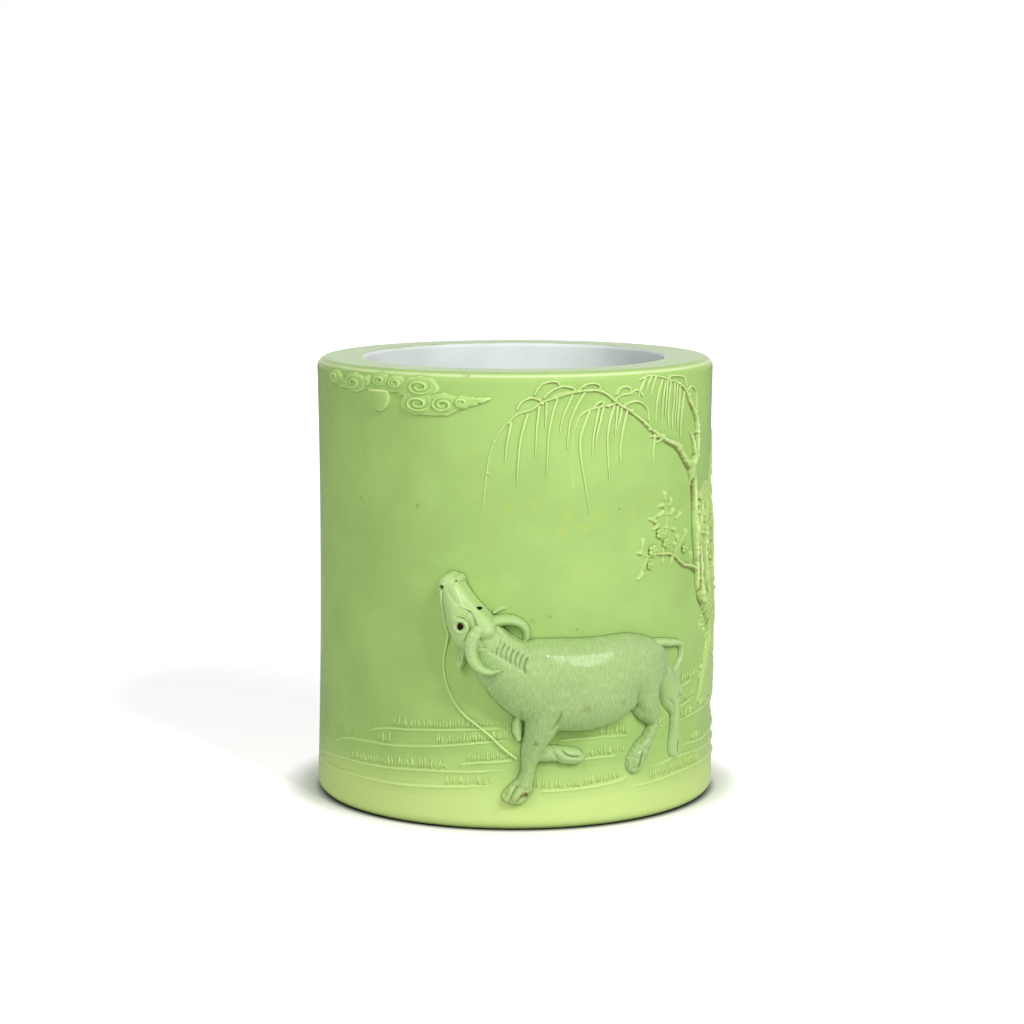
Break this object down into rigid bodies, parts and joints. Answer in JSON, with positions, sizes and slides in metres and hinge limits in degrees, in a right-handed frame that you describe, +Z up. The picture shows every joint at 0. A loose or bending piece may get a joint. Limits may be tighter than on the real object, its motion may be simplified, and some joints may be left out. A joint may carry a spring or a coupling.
{
  "type": "brush pot",
  "caption": "Cylindrical porcelain pot for writing brushes, green enamelled, with a buffalo, willow, prunus, clouds and grassy banks in relief round its thick wall",
  "frame": {"origin": "centre of the flat base, on the surface that the pot stands on", "axes": "+Z up along the pot's axis, -Y towards the buffalo on the front, +X to the right in the picture"},
  "size_m": [0.122, 0.1282, 0.13],
  "materials": {
    "green_glaze": "gloss lime-green enamel",
    "relief_glaze": "gloss enamel, paler on high edges and darker in hollows",
    "buffalo_glaze": "gloss celadon-toned enamel",
    "white_glaze": "gloss bluish white glaze",
    "eye_enamel": "gloss dark brown enamel"
  },
  "bodies": {
    "root": {"pot_wall": "green_glaze", "base_slab": "white_glaze", "buffalo_body": "buffalo_glaze", "buffalo_neck": "buffalo_glaze", "buffalo_head": "buffalo_glaze", "buffalo_tail": "buffalo_glaze", "near_foreleg": "buffalo_glaze", "near_hind_leg": "buffalo_glaze", "far_knee": "buffalo_glaze", "far_forearm": "buffalo_glaze", "far_hind_leg": "buffalo_glaze", "near_horn": "buffalo_glaze", "far_horn": "buffalo_glaze", "near_ear": "buffalo_glaze", "far_ear": "buffalo_glaze", "rump_fold": "buffalo_glaze", "near_eye": "eye_enamel", "far_eye": "eye_enamel", "willow_trunk": "relief_glaze", "willow_left_stem": "relief_glaze", "willow_left_bough": "relief_glaze", "willow_right_bough": "relief_glaze", "willow_back_bough": "relief_glaze", "prunus_bough": "relief_glaze", "tree_mound": "relief_glaze", "back_mound": "relief_glaze", "tether_rope": "relief_glaze", "cloud_left": "relief_glaze", "cloud_middle": "relief_glaze", "cloud_lower": "relief_glaze", "moon_disc": "relief_glaze", "prunus_blossom_1": "relief_glaze", "prunus_blossom_2": "relief_glaze", "prunus_blossom_3": "relief_glaze", "prunus_blossom_4": "relief_glaze", "prunus_blossom_5": "relief_glaze", "left_bank_1": "green_glaze", "left_bank_2": "green_glaze", "left_bank_3": "green_glaze", "left_bank_4": "green_glaze", "left_bank_5": "green_glaze", "middle_bank_1": "green_glaze", "middle_bank_2": "green_glaze", "middle_bank_3": "green_glaze", "right_bank_1": "green_glaze", "right_bank_2": "green_glaze", "right_bank_3": "green_glaze", "right_bank_4": "green_glaze", "right_bank_5": "green_glaze", "right_bank_6": "green_glaze"}
  },
  "joints": []
}
